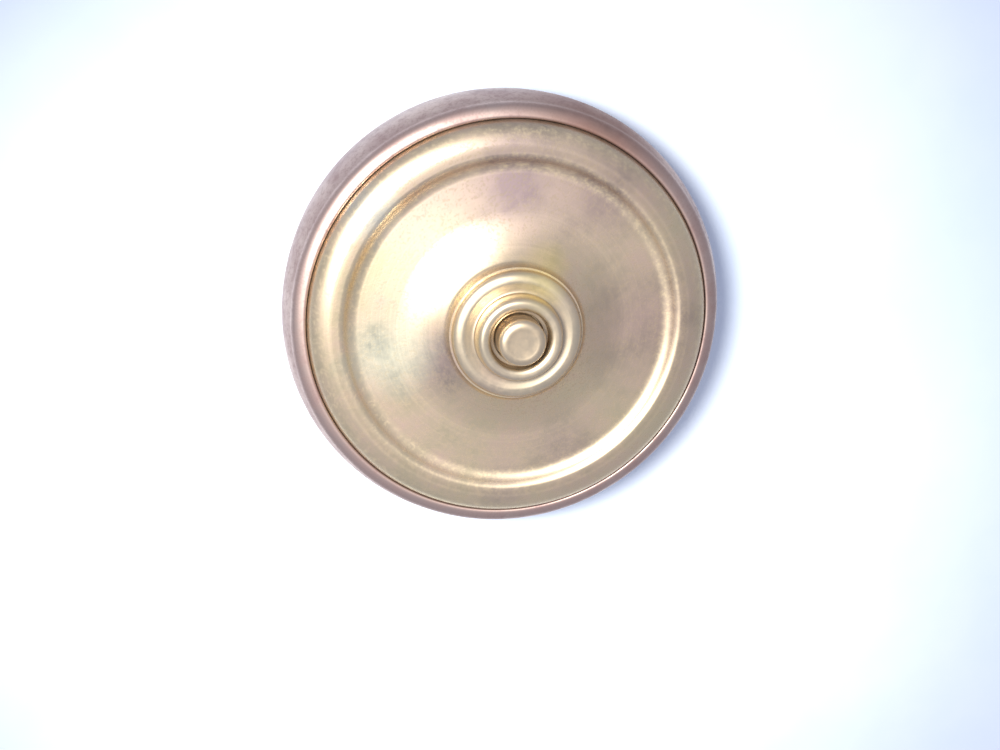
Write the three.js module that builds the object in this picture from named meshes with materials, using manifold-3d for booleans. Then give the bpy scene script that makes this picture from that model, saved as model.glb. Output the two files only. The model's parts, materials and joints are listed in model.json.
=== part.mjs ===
// Vented filler cap for a deck fitting: a dished brass cap with a push-button vent valve.
// Millimetres, +Z up. The origin is the centre of the circle that the skirt's foot stands on.
// Every turned piece is a profile in (radius, height), drawn anticlockwise and spun about Z.

import * as THREE from 'three';
import { mergeVertices } from 'three/addons/utils/BufferGeometryUtils.js';
import Module from 'manifold-3d';

const wasm = await Module();
wasm.setup();

// Facets
const ringSteps = 40; // round the large turned pieces
const coreSteps = 28; // round the boss and valve pieces
const smallSteps = 16; // round screws and pins
const wireSides = 6; // round a swept wire
const ventHoleSides = 8;
const coilSteps = 12; // along each turn of the spring
const threadSteps = 30; // along each turn of the thread
const arcSteps = 3; // along each curve of a profile
const mergeGap = 1e-4; // vertices closer than this are one
const overshoot = 1; // how far a cutting tool runs past the face that it cuts

// Clearances
const slipGap = 0.1; // between pieces that are assembled and then stay still
const runGap = 0.2; // between pieces that slide or turn
const stopGap = 0.05; // between a moving piece and its stop

// Filler neck that the cap screws onto
const neckThreadRadius = 27; // at the root of the cap's internal thread
const threadDepth = 1;
const threadPitch = 2.8;
const neckWall = 2.6;

// Threaded collar
const collarWall = 3;
const collarRecess = 2.5; // from the foot up to the collar's mouth
const flangeThickness = 2;
const flangeEdgeGap = 0.8; // from the flange to the skirt's inside wall
const mouthChamfer = 0.8;

// Gasket
const gasketThickness = 2; // of the flange held in the recess
const gasketOverlap = 0.5; // outside the thread's root
const gasketLand = 0.8; // the sealing face below the flange

// Clamp screws
const screwCount = 6;
const screwLand = 3.9; // from the collar to the rebate wall, room for the heads
const screwInset = 1.7; // from the rebate wall to the screws' circle
const screwRadius = 1.1;
const screwHeadRadius = 2;
const screwHeadHeight = 1.6;
const screwEngagement = 2; // length inside the plate
const slotWidth = 0.6;
const slotDepth = 0.7;
const slotTurn = 0.9; // radians from one screw's slot to the next, as they happened to stop

// Skirt ring
const skirtDepth = 17.5; // from the foot to the plate's seat
const skirtWall = 2.6;
const widestHeight = 12.5;
const swellHeight = 5; // where the swell's control point stands
const skirtFlare = 1.6; // how far the swell stands out past the bead
const footInset = 1.4; // how far the foot stands in from the swell
const footWall = 2.1;
const footRound = 0.8;
const shoulderRise = 1.5; // the bead's outer foot above the seat
const shoulderCurve = 2.7; // the skirt's upper control point below the bead's outer foot
const beadWidth = 2.5;
const beadRise = 3.15; // the bead's crest above the seat
const beadCrestInset = 0.5; // from the rebate wall to the bead's crest
const beadRound = 0.1; // from the bead's outer foot in to its curve's control point
const beadFall = 0.25; // from the bead's crest down to the same point
const grooveChamfer = 0.35;
const ledgeThickness = 1.8;
const ledgeFillet = 0.8;

// Top plate: heights are above its seat on the ring
const plateThickness = 2;
const rimEdgeRise = 2.8;
const rimChamfer = 0.25;
const rimRoundRise = 3.3;
const crestInset = 3.8; // from the rebate wall to the rim's crest line
const crestRise = 5.45;
const rimWidth = 5.6; // from the rebate wall to the lip
const lipFall = 0.12; // from the crest line down to the lip
const lipRound = 0.6;
const rimRound = 3; // from the crest line out to the rim curve's control point
const rimDrop = 0.4; // from the crest line down to the same point
const wallRun = 1.4; // from the lip to the foot of the dish wall
const troughWidth = 1.2;
const troughRise = 3.85;
const flatWidth = 6.2; // the nearly level floor inside the trough
const flatRise = 4; // of its inner edge
const floorBend = 4; // from that edge in to the floor's control point
const floorBendRise = 4.25;
const neckRun = 0.8; // from the land out to the foot of its fillet
const neckRise = 6.4; // of that foot
const neckBend = 0.4; // from that foot in to the fillet's control point
const neckBendRise = 0.3; // from that foot up to the same point
const landRise = 7.5; // the flat that the boss stands on
const seatMargin = 1; // plate seat inside the gasket
const seatUndercut = 1.4;

// Boss collar
const bossRadius = 10.8;
const bossFit = 0.3; // from the boss to the edge of its land
const innerRingRadius = 7.2;
const outerRingRise = 1.65; // its crest above the land
const innerRingRise = 4.2;
const ringHollow = 0.5; // how deep the hollow between the rings pulls down
const wellRadius = 4.9; // the well that the button stands in
const wellDepth = 2.2; // below the inner ring's crest
const wellRound = 0.8;
const spigotRadius = 6.5;
const spigotWall = 1.3;
const spigotLength = 9.5; // below the boss's flange
const lipThickness = 1.4; // metal between the well and the button's shoulder

// Vent button, stem and poppet
const buttonRadius = 3.9;
const pressedProud = 0.2; // left above the inner ring when pressed
const buttonRound = 1.3;
const buttonDish = 0.12;
const shoulderThickness = 1.6;
const ventTravel = 1.6; // how far the button is pressed
const stemRadius = 1.6;
const stemThreadRadius = 1.2;
const stemEngagement = 3.4; // inside the button

// Valve body
const bodyWall = 1.8;
const floorThickness = 2.2;
const bodyChamberDepth = 2.3; // from the spigot's end to the chamber's floor
const wrenchFlatDepth = 0.9;
const wrenchFlatHeight = 4;
const ventHoleRadius = 0.75;
const ventHoleCount = 6;
const ventHoleInset = 1.15; // from the chamber wall to the holes' circle
const seatBeadHeight = 0.4;
const seatBeadWidth = 0.6;
const seatBeadOffset = 0.2; // from the chamber wall out to the bead

// Washers, spring and poppet
const fibreThickness = 0.8;
const springSeatThickness = 0.5;
const springWire = 0.7;
const springTurns = 8;
const springGap = 0.4; // from the stem to the inside of the coil
const sealThickness = 1.2;
const sealMargin = 0.6; // seal outside the seat bead
const cupWall = 0.7;
const cupFloor = 1;
const cupRimHeight = 0.6;
const lockWasherWidth = 1.5;
const lockWasherThickness = 0.6;
const lockWasherSplit = 0.6;
const nutRadius = 2.9; // across corners
const nutHeight = 2;
const stemTail = 0.6; // thread showing past the nut

// Lanyard strap and swivel eye
const strapThickness = 1;
const strapWidth = 5.2;
const strapRingWidth = 2.5;
const strapDropGap = 2.5; // from the valve body to the strap's upright
const strapBend = 1.4; // outside radius of the strap's bends
const strapDrop = 7.5;
const strapReach = 4.1; // from the upright to the swivel's axis
const strapRoom = 0.7; // from the strap's upper bend to the end of the plate's flat underside
const swivelRadius = 1.2;
const swivelHeadRadius = 2.1;
const swivelHeadHeight = 0.8;
const swivelWasherThickness = 0.5;
const swivelCollarHeight = 0.8;
const eyeRadius = 2.2;
const eyeWire = 0.75;

// Radii that follow
const collarBore = neckThreadRadius - threadDepth;
const collarRadius = neckThreadRadius + collarWall;
const gasketInner = neckThreadRadius - neckWall - threadDepth;
const gasketRadius = neckThreadRadius + gasketOverlap;
const gasketLandRadius = collarBore - runGap;
const rebateRadius = collarRadius + screwLand;
const shoulderRadius = rebateRadius + beadWidth;
const capRadius = shoulderRadius + skirtFlare;
const footRadius = capRadius - footInset;
const plateRadius = rebateRadius - slipGap;
const ledgeInner = collarRadius + slipGap * 2;
const screwCircle = rebateRadius - screwInset;
const crestRadius = rebateRadius - crestInset;
const lipRadius = rebateRadius - rimWidth;
const troughRadius = lipRadius - wallRun;
const floorRadius = troughRadius - troughWidth;
const landRadius = bossRadius + bossFit;
const seatInner = gasketInner - seatMargin;
const buttonBore = buttonRadius + runGap;
const chamberRadius = spigotRadius - spigotWall;
const bodyRadius = spigotRadius + bodyWall;
const sealRadius = chamberRadius + seatBeadOffset + seatBeadWidth + sealMargin;
const springRadius = stemRadius + springGap + springWire / 2;
const strapUpright = bodyRadius + strapDropGap + strapThickness;
const swivelX = strapUpright + strapReach;
const landUnderRadius = strapUpright - strapBend + strapRoom;

// Heights that follow
const seatZ = skirtDepth;
const ledgeZ = seatZ - ledgeThickness;
const flangeZ = ledgeZ - flangeThickness;
const recessZ = seatZ - gasketThickness;
const gasketFaceZ = recessZ - gasketLand;
const shoulderZ = seatZ + shoulderRise;
const beadZ = seatZ + beadRise;
const landZ = seatZ + landRise;
const landUnderZ = landZ - plateThickness - bossFit;
const outerRingZ = landZ + outerRingRise;
const bossTopZ = landZ + innerRingRise;
const wellZ = bossTopZ - wellDepth;
const buttonTopZ = bossTopZ + ventTravel + pressedProud;
const shoulderTopZ = wellZ - lipThickness;
const spigotEndZ = landZ - spigotLength;
const strapTopZ = landUnderZ - fibreThickness;
const bodyTopZ = strapTopZ - strapThickness;
const chamberZ = spigotEndZ - bodyChamberDepth;
const bodyBottomZ = chamberZ - floorThickness;
const seatBeadZ = bodyBottomZ - seatBeadHeight;
const springSeatZ = chamberZ + springSeatThickness;
const buttonBottomZ = shoulderTopZ - stopGap - shoulderThickness;
const sealTopZ = seatBeadZ - stopGap;
const sealBottomZ = sealTopZ - sealThickness;
const cupBottomZ = sealBottomZ - cupFloor;
const nutTopZ = cupBottomZ - lockWasherThickness;
const stemEndZ = nutTopZ - nutHeight - stemTail;
const strapLowZ = strapTopZ - strapDrop;
const swivelWasherZ = strapLowZ + swivelWasherThickness;
const eyeTopZ = strapLowZ - strapThickness - stopGap - swivelCollarHeight;
const eyeZ = eyeTopZ - eyeRadius - eyeWire / 2;

const brassDark = { color: 0x8f6f4c, roughness: 0.42, metalness: 0.95 };
const brassGold = { color: 0xb08d5a, roughness: 0.35, metalness: 0.95 };
const brassBright = { color: 0xc7a468, roughness: 0.3, metalness: 0.95 };
const rubberBlack = { color: 0x1d1c1b, roughness: 0.85, metalness: 0 };
const fibreRed = { color: 0x7d3a2a, roughness: 0.8, metalness: 0 };
const steelPale = { color: 0xa9abad, roughness: 0.35, metalness: 0.9 };

// A helix about Z.
class Helix extends THREE.Curve {
  constructor(radius, pitch, turns, startZ) {
    super();
    this.radius = radius;
    this.rise = pitch * turns;
    this.sweep = 2 * Math.PI * turns;
    this.startZ = startZ;
  }

  getPoint(t, target = new THREE.Vector3()) {
    const angle = this.sweep * t;
    const x = this.radius * Math.cos(angle);
    const y = this.radius * Math.sin(angle);
    return target.set(x, y, this.startZ + this.rise * t);
  }
}

// Spins a closed profile of (radius, height) about Z.
function turned(profile, steps) {
  const geometry = new THREE.LatheGeometry(profile.getPoints(arcSteps), steps);
  return geometry.rotateX(Math.PI / 2);
}

// A plain ring, or a disc when the inner radius is zero.
function washer(inner, outer, bottomZ, topZ, steps) {
  const profile = new THREE.Path();
  profile.moveTo(inner, bottomZ);
  profile.lineTo(outer, bottomZ);
  profile.lineTo(outer, topZ);
  profile.lineTo(inner, topZ);
  if (inner > 0) profile.lineTo(inner, bottomZ);
  return turned(profile, steps);
}

// A prism about Z that stands from one height to another; six sides make a hexagon.
function prism(radius, bottomZ, topZ, sides) {
  const geometry = new THREE.CylinderGeometry(radius, radius, topZ - bottomZ, sides);
  return geometry.rotateX(Math.PI / 2).translate(0, 0, (bottomZ + topZ) / 2);
}

// A round wire swept along a curve.
function wire(curve, radius, steps) {
  const section = new THREE.Shape();
  section.absarc(0, 0, radius, 0, 2 * Math.PI, false);
  curve.arcLengthDivisions = steps;
  const curveSegments = wireSides / 2; // a whole circle takes two segments for each
  const options = { steps, curveSegments, bevelEnabled: false, extrudePath: curve };
  return new THREE.ExtrudeGeometry(section, options);
}

// The closed solid of a geometry, for cutting and joining.
function solidOf(geometry) {
  geometry.deleteAttribute('normal');
  geometry.deleteAttribute('uv');
  const merged = mergeVertices(geometry, mergeGap);
  const index = merged.index.array;
  const corners = [];
  for (let i = 0; i < index.length; i += 3) {
    const [a, b, c] = index.slice(i, i + 3);
    if (a !== b && b !== c && c !== a) corners.push(a, b, c);
  }
  const vertProperties = new Float32Array(merged.attributes.position.array);
  const triVerts = new Uint32Array(corners);
  return new wasm.Manifold(new wasm.Mesh({ numProp: 3, vertProperties, triVerts }));
}

// The geometry of a finished solid.
function geometryOf(solid) {
  const mesh = solid.getMesh();
  const geometry = new THREE.BufferGeometry();
  geometry.setAttribute('position', new THREE.BufferAttribute(mesh.vertProperties, 3));
  geometry.setIndex(new THREE.BufferAttribute(mesh.triVerts, 1));
  geometry.computeVertexNormals();
  return geometry;
}

// Cuts each tool out of a geometry.
function cut(geometry, tools) {
  let solid = solidOf(geometry);
  for (const tool of tools) solid = solid.subtract(solidOf(tool));
  return geometryOf(solid);
}

// Joins geometries that overlap into one body.
function join(geometries) {
  const [first, ...others] = geometries.map(solidOf);
  let solid = first;
  for (const other of others) solid = solid.add(other);
  return geometryOf(solid);
}

// One copy of a tool at each place round a circle.
function roundCircle(count, radius, makeTool) {
  const tools = [];
  for (let i = 0; i < count; i += 1) {
    const angle = (2 * Math.PI * i) / count;
    const tool = makeTool();
    tools.push(tool.translate(radius * Math.cos(angle), radius * Math.sin(angle), 0));
  }
  return tools;
}

// Flared ring with its bead on top, a rebate for the plate and a ledge for the screws.
function skirtRing() {
  const innerRadius = capRadius - skirtWall;
  const grooveZ = beadZ - grooveChamfer;
  const beadCrest = rebateRadius + beadCrestInset;
  const profile = new THREE.Path();
  profile.moveTo(footRadius - footWall, 0);
  profile.lineTo(footRadius - footRound, 0);
  profile.quadraticCurveTo(footRadius, 0, footRadius, footRound);
  profile.quadraticCurveTo(capRadius, swellHeight, capRadius, widestHeight);
  profile.quadraticCurveTo(capRadius, shoulderZ - shoulderCurve, shoulderRadius, shoulderZ);
  profile.quadraticCurveTo(shoulderRadius - beadRound, beadZ - beadFall, beadCrest, beadZ);
  profile.quadraticCurveTo(rebateRadius, beadZ, rebateRadius, grooveZ);
  profile.lineTo(rebateRadius, seatZ);
  profile.lineTo(ledgeInner, seatZ);
  profile.lineTo(ledgeInner, ledgeZ);
  profile.lineTo(innerRadius - ledgeFillet, ledgeZ);
  profile.quadraticCurveTo(innerRadius, ledgeZ, innerRadius, ledgeZ - ledgeFillet);
  profile.lineTo(innerRadius, widestHeight);
  profile.quadraticCurveTo(innerRadius, swellHeight, footRadius - footWall, 0);
  const clearance = screwRadius + slipGap;
  const holes = roundCircle(screwCount, screwCircle, () =>
    prism(clearance, ledgeZ - overshoot, seatZ + overshoot, smallSteps));
  return cut(turned(profile, ringSteps), holes);
}

// Dished cover plate: rim, crest line, lip, trough and a floor that rises to the boss.
function topPlate() {
  const rimRadius = plateRadius - rimChamfer;
  const undersideRadius = seatInner - seatUndercut;
  const troughZ = seatZ + troughRise;
  const flatRadius = floorRadius - flatWidth;
  const bendRadius = flatRadius - floorBend;
  const bendZ = seatZ + floorBendRise;
  const crestZ = seatZ + crestRise;
  const lipZ = crestZ - lipFall;
  const neckRadius = landRadius + neckRun;
  const neckZ = seatZ + neckRise;
  const holeRadius = spigotRadius + slipGap;
  const profile = new THREE.Path();
  profile.moveTo(holeRadius, landUnderZ);
  profile.lineTo(landUnderRadius, landUnderZ);
  profile.quadraticCurveTo(bendRadius, bendZ - plateThickness, undersideRadius, seatZ + seatUndercut);
  profile.lineTo(seatInner, seatZ);
  profile.lineTo(plateRadius, seatZ);
  profile.lineTo(plateRadius, seatZ + rimEdgeRise);
  profile.lineTo(rimRadius, seatZ + rimRoundRise);
  profile.quadraticCurveTo(crestRadius + rimRound, crestZ - rimDrop, crestRadius, crestZ);
  profile.lineTo(lipRadius + lipRound, lipZ);
  profile.quadraticCurveTo(lipRadius, lipZ, lipRadius - lipRound, lipZ - lipRound);
  profile.quadraticCurveTo(troughRadius, troughZ, floorRadius, troughZ);
  profile.lineTo(flatRadius, seatZ + flatRise);
  profile.quadraticCurveTo(bendRadius, bendZ, neckRadius, neckZ);
  profile.quadraticCurveTo(neckRadius - neckBend, neckZ + neckBendRise, landRadius, landZ);
  profile.lineTo(holeRadius, landZ);
  profile.lineTo(holeRadius, landUnderZ);
  const holeTop = seatZ + screwEngagement + slipGap;
  const holes = roundCircle(screwCount, screwCircle, () =>
    prism(screwRadius + slipGap / 2, seatZ - overshoot, holeTop, smallSteps));
  return cut(turned(profile, ringSteps), holes);
}

// Internally threaded collar, its flange held against the ledge, its top recessed for the gasket.
function threadedCollar() {
  const flangeRadius = capRadius - skirtWall - flangeEdgeGap;
  const recessRadius = gasketRadius + slipGap;
  const profile = new THREE.Path();
  profile.moveTo(collarBore + mouthChamfer, collarRecess);
  profile.lineTo(collarRadius, collarRecess);
  profile.lineTo(collarRadius, flangeZ);
  profile.lineTo(flangeRadius, flangeZ);
  profile.lineTo(flangeRadius, ledgeZ);
  profile.lineTo(collarRadius, ledgeZ);
  profile.lineTo(collarRadius, seatZ - slipGap);
  profile.lineTo(recessRadius, seatZ - slipGap);
  profile.lineTo(recessRadius, recessZ);
  profile.lineTo(collarBore, recessZ);
  profile.lineTo(collarBore, collarRecess + mouthChamfer);
  profile.lineTo(collarBore + mouthChamfer, collarRecess);
  const startZ = collarRecess - threadPitch;
  const turns = Math.ceil((recessZ - startZ) / threadPitch);
  const helix = new Helix(collarBore, threadPitch, turns, startZ);
  const thread = wire(helix, threadDepth, turns * threadSteps);
  const holes = roundCircle(screwCount, screwCircle, () =>
    prism(screwRadius + slipGap, flangeZ - overshoot, ledgeZ + overshoot, smallSteps));
  return cut(turned(profile, ringSteps), [thread, ...holes]);
}

// Stepped gasket: its flange lies in the recess and its land stands down into the bore.
function neckGasket() {
  const profile = new THREE.Path();
  profile.moveTo(gasketInner, gasketFaceZ);
  profile.lineTo(gasketLandRadius, gasketFaceZ);
  profile.lineTo(gasketLandRadius, recessZ);
  profile.lineTo(gasketRadius, recessZ);
  profile.lineTo(gasketRadius, seatZ);
  profile.lineTo(gasketInner, seatZ);
  profile.lineTo(gasketInner, gasketFaceZ);
  return turned(profile, ringSteps);
}

// Cheese-head screw, head down, about its own axis at the origin.
function clampScrew() {
  const headBottomZ = flangeZ - screwHeadHeight;
  const slotLength = screwHeadRadius * 3;
  const slot = new THREE.BoxGeometry(slotLength, slotWidth, slotDepth * 2);
  slot.translate(0, 0, headBottomZ);
  const head = prism(screwHeadRadius, headBottomZ, flangeZ, smallSteps);
  const shank = prism(screwRadius, flangeZ - slotDepth / 2, seatZ + screwEngagement, smallSteps);
  return cut(join([head, shank]), [slot]);
}

// Stepped boss: a tall rounded ring inside a low one, and a spigot through the plate.
function bossCollar() {
  const outerCrest = (bossRadius + innerRingRadius) / 2;
  const innerCrest = (innerRingRadius + wellRadius) / 2;
  const profile = new THREE.Path();
  profile.moveTo(chamberRadius, spigotEndZ);
  profile.lineTo(spigotRadius, spigotEndZ);
  profile.lineTo(spigotRadius, landZ);
  profile.lineTo(bossRadius, landZ);
  profile.quadraticCurveTo(bossRadius, outerRingZ, outerCrest, outerRingZ);
  profile.quadraticCurveTo(innerRingRadius, outerRingZ - ringHollow, innerRingRadius, outerRingZ);
  profile.quadraticCurveTo(innerRingRadius, bossTopZ, innerCrest, bossTopZ);
  profile.quadraticCurveTo(wellRadius, bossTopZ, wellRadius, bossTopZ - wellRound);
  profile.lineTo(wellRadius, wellZ);
  profile.lineTo(buttonBore, wellZ);
  profile.lineTo(buttonBore, shoulderTopZ);
  profile.lineTo(chamberRadius, shoulderTopZ);
  profile.lineTo(chamberRadius, spigotEndZ);
  return turned(profile, coreSteps);
}

function bossWasher() {
  return washer(spigotRadius + slipGap, bodyRadius, strapTopZ, landUnderZ, coreSteps);
}

// Button with a hexagonal shoulder, whose flats let air past.
function ventButton() {
  const rimZ = buttonTopZ - buttonRound;
  const shoulderTop = buttonBottomZ + shoulderThickness;
  const headZ = shoulderTop - shoulderThickness / 2;
  const head = new THREE.Path();
  head.moveTo(0, headZ);
  head.lineTo(buttonRadius, headZ);
  head.lineTo(buttonRadius, rimZ);
  head.quadraticCurveTo(buttonRadius, buttonTopZ, buttonRadius - buttonRound, buttonTopZ);
  head.quadraticCurveTo(buttonRadius / 2, buttonTopZ - buttonDish, 0, buttonTopZ - buttonDish);
  const shoulderCorners = chamberRadius - runGap;
  const shoulder = prism(shoulderCorners, buttonBottomZ, shoulderTop, 6);
  const holeTop = buttonBottomZ + stemEngagement + slipGap;
  const hole = prism(stemRadius + slipGap / 2, buttonBottomZ - overshoot, holeTop, smallSteps);
  return cut(join([turned(head, coreSteps), shoulder]), [hole]);
}

// Stem with a shoulder that the seal is clamped against.
function valveStem() {
  const profile = new THREE.Path();
  profile.moveTo(0, stemEndZ);
  profile.lineTo(stemThreadRadius, stemEndZ);
  profile.lineTo(stemThreadRadius, sealTopZ);
  profile.lineTo(stemRadius, sealTopZ);
  profile.lineTo(stemRadius, buttonBottomZ + stemEngagement);
  profile.lineTo(0, buttonBottomZ + stemEngagement);
  return turned(profile, smallSteps);
}

// Compression spring between its seat and the button's shoulder.
function returnSpring() {
  const wireRadius = springWire / 2;
  const startZ = springSeatZ + wireRadius + stopGap;
  const endZ = buttonBottomZ - wireRadius - stopGap;
  const pitch = (endZ - startZ) / springTurns;
  const helix = new Helix(springRadius, pitch, springTurns, startZ);
  return wire(helix, wireRadius, springTurns * coilSteps);
}

function springSeat() {
  const outer = springRadius + springWire;
  return washer(stemRadius + runGap, outer, chamberZ, springSeatZ, smallSteps);
}

// Cup screwed on the spigot, with vent holes in its floor and a seat bead under them.
function valveBody() {
  const stemHole = stemRadius + runGap;
  const beadInner = chamberRadius + seatBeadOffset;
  const profile = new THREE.Path();
  profile.moveTo(stemHole, bodyBottomZ);
  profile.lineTo(beadInner, bodyBottomZ);
  profile.lineTo(beadInner, seatBeadZ);
  profile.lineTo(beadInner + seatBeadWidth, seatBeadZ);
  profile.lineTo(beadInner + seatBeadWidth, bodyBottomZ);
  profile.lineTo(bodyRadius, bodyBottomZ);
  profile.lineTo(bodyRadius, bodyTopZ);
  profile.lineTo(spigotRadius + slipGap, bodyTopZ);
  profile.lineTo(spigotRadius + slipGap, spigotEndZ - slipGap);
  profile.lineTo(chamberRadius, spigotEndZ - slipGap);
  profile.lineTo(chamberRadius, chamberZ);
  profile.lineTo(stemHole, chamberZ);
  profile.lineTo(stemHole, bodyBottomZ);
  const ventCircle = chamberRadius - ventHoleInset;
  const tools = roundCircle(ventHoleCount, ventCircle, () =>
    prism(ventHoleRadius, seatBeadZ - overshoot, chamberZ + overshoot, ventHoleSides));
  for (const side of [-1, 1]) {
    const flat = new THREE.BoxGeometry(bodyRadius * 2, wrenchFlatDepth * 2, wrenchFlatHeight * 2);
    tools.push(flat.translate(0, side * bodyRadius, bodyBottomZ));
  }
  return cut(turned(profile, coreSteps), tools);
}

function valveSeal() {
  const inner = stemThreadRadius + slipGap;
  return washer(inner, sealRadius, sealBottomZ, sealTopZ, coreSteps);
}

// Shallow cup that carries the seal.
function poppetDisc() {
  const inner = stemThreadRadius + slipGap;
  const cupInner = sealRadius + slipGap;
  const rimZ = sealBottomZ + cupRimHeight;
  const profile = new THREE.Path();
  profile.moveTo(inner, cupBottomZ);
  profile.lineTo(sealRadius, cupBottomZ);
  profile.quadraticCurveTo(cupInner + cupWall, cupBottomZ, cupInner + cupWall, sealBottomZ);
  profile.lineTo(cupInner + cupWall, rimZ);
  profile.lineTo(cupInner, rimZ);
  profile.lineTo(cupInner, sealBottomZ);
  profile.lineTo(inner, sealBottomZ);
  profile.lineTo(inner, cupBottomZ);
  return turned(profile, coreSteps);
}

// Spring washer with its split.
function lockWasher() {
  const inner = stemThreadRadius + slipGap;
  const ring = washer(inner, inner + lockWasherWidth, nutTopZ, cupBottomZ, smallSteps);
  const split = new THREE.BoxGeometry(lockWasherWidth * 3, lockWasherSplit, lockWasherThickness * 3);
  return cut(ring, [split.translate(inner + lockWasherWidth, 0, cupBottomZ)]);
}

function stemNut() {
  const nutBottomZ = nutTopZ - nutHeight;
  const nut = prism(nutRadius, nutBottomZ, nutTopZ, 6);
  const holeRadius = stemThreadRadius + slipGap / 2;
  const hole = prism(holeRadius, nutBottomZ - overshoot, nutTopZ + overshoot, smallSteps);
  return cut(nut, [hole]);
}

// Cranked strap: a ring round the spigot, an upright, and a foot with the swivel's hole.
function lanyardStrap() {
  const ringRadius = spigotRadius + strapRingWidth;
  const footLength = swivelX + strapWidth / 2;
  const uprightInner = strapUpright - strapThickness;
  const footZ = strapLowZ - strapThickness;
  const ringEdge = ringRadius - strapRingWidth / 2;
  const side = new THREE.Shape();
  side.moveTo(ringEdge, bodyTopZ);
  side.lineTo(uprightInner, bodyTopZ);
  side.lineTo(uprightInner, footZ + strapBend);
  side.quadraticCurveTo(uprightInner, footZ, uprightInner + strapBend, footZ);
  side.lineTo(footLength, footZ);
  side.lineTo(footLength, strapLowZ);
  side.lineTo(strapUpright, strapLowZ);
  side.lineTo(strapUpright, strapTopZ - strapBend);
  side.quadraticCurveTo(strapUpright, strapTopZ, strapUpright - strapBend, strapTopZ);
  side.lineTo(ringEdge, strapTopZ);
  const options = { depth: strapWidth, curveSegments: arcSteps, bevelEnabled: false };
  const arm = new THREE.ExtrudeGeometry(side, options);
  arm.rotateX(Math.PI / 2).translate(0, strapWidth / 2, 0);
  const ring = washer(spigotRadius + slipGap, ringRadius, bodyTopZ, strapTopZ, coreSteps);
  const tip = prism(swivelRadius + runGap, footZ - overshoot, strapLowZ + overshoot, smallSteps);
  return cut(join([arm, ring]), [tip.translate(swivelX, 0, 0)]);
}

// Swivel eye about its own axis: riveted head, shank, collar and the eye for the lanyard's link.
function swivelEye() {
  const collarTop = strapLowZ - strapThickness - stopGap;
  const headZ = swivelWasherZ + stopGap;
  const profile = new THREE.Path();
  profile.moveTo(0, eyeTopZ);
  profile.lineTo(swivelHeadRadius, eyeTopZ);
  profile.lineTo(swivelHeadRadius, collarTop);
  profile.lineTo(swivelRadius, collarTop);
  profile.lineTo(swivelRadius, headZ);
  profile.lineTo(swivelHeadRadius, headZ);
  profile.quadraticCurveTo(swivelHeadRadius, headZ + swivelHeadHeight, 0, headZ + swivelHeadHeight);
  const eye = new THREE.TorusGeometry(eyeRadius, eyeWire, 8, smallSteps);
  eye.rotateX(Math.PI / 2).translate(0, 0, eyeZ);
  return join([turned(profile, smallSteps), eye]);
}

function swivelWasher() {
  const inner = swivelRadius + runGap;
  return washer(inner, strapWidth / 2, strapLowZ, swivelWasherZ, smallSteps);
}

const cap = new THREE.Group();

// Adds one piece to the cap and gives it back, so that it can be placed.
function addPiece(name, geometry, finish) {
  const mesh = new THREE.Mesh(geometry, new THREE.MeshStandardMaterial(finish));
  mesh.name = name;
  cap.add(mesh);
  return mesh;
}

addPiece('skirt_ring', skirtRing(), brassDark);
addPiece('top_plate', topPlate(), brassGold);
addPiece('threaded_collar', threadedCollar(), brassGold);
addPiece('neck_gasket', neckGasket(), rubberBlack);
for (let i = 0; i < screwCount; i += 1) {
  const angle = (2 * Math.PI * i) / screwCount;
  const screw = addPiece(`clamp_screw_${i + 1}`, clampScrew(), steelPale);
  screw.position.set(screwCircle * Math.cos(angle), screwCircle * Math.sin(angle), 0);
  screw.rotation.z = slotTurn * i;
}
addPiece('boss_collar', bossCollar(), brassBright);
addPiece('boss_washer', bossWasher(), fibreRed);
addPiece('lanyard_strap', lanyardStrap(), brassGold);
addPiece('valve_body', valveBody(), brassGold);
addPiece('spring_seat', springSeat(), steelPale);
addPiece('return_spring', returnSpring(), steelPale);
addPiece('vent_button', ventButton(), brassBright);
addPiece('valve_stem', valveStem(), brassGold);
addPiece('valve_seal', valveSeal(), rubberBlack);
addPiece('poppet_disc', poppetDisc(), brassGold);
addPiece('lock_washer', lockWasher(), steelPale);
addPiece('stem_nut', stemNut(), brassGold);
addPiece('swivel_washer', swivelWasher(), steelPale).position.x = swivelX;
addPiece('swivel_eye', swivelEye(), brassGold).position.x = swivelX;

export default cap;
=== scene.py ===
import json
from math import ceil, cos, pi, radians, sin

import bmesh
import bpy
from mathutils import Matrix, Quaternion, Vector


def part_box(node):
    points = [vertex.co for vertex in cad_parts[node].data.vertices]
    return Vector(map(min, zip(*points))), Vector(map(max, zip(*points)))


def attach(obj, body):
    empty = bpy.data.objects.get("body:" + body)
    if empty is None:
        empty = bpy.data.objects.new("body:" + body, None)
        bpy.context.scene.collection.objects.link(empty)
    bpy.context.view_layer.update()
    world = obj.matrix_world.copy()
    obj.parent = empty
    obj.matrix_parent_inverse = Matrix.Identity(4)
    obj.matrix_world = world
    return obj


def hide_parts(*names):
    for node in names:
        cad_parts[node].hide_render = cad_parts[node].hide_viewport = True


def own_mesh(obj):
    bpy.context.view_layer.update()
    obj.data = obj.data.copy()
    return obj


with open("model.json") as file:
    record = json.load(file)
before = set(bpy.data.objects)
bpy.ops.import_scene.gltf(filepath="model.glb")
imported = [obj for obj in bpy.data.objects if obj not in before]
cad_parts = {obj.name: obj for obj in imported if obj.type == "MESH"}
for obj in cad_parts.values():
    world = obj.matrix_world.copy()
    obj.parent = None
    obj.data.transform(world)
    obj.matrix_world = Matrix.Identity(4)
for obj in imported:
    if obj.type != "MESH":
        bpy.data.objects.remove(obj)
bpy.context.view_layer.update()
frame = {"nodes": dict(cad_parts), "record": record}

millimetre = 0.001
print("frame loaded:", len(frame["nodes"]), "nodes")


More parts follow.
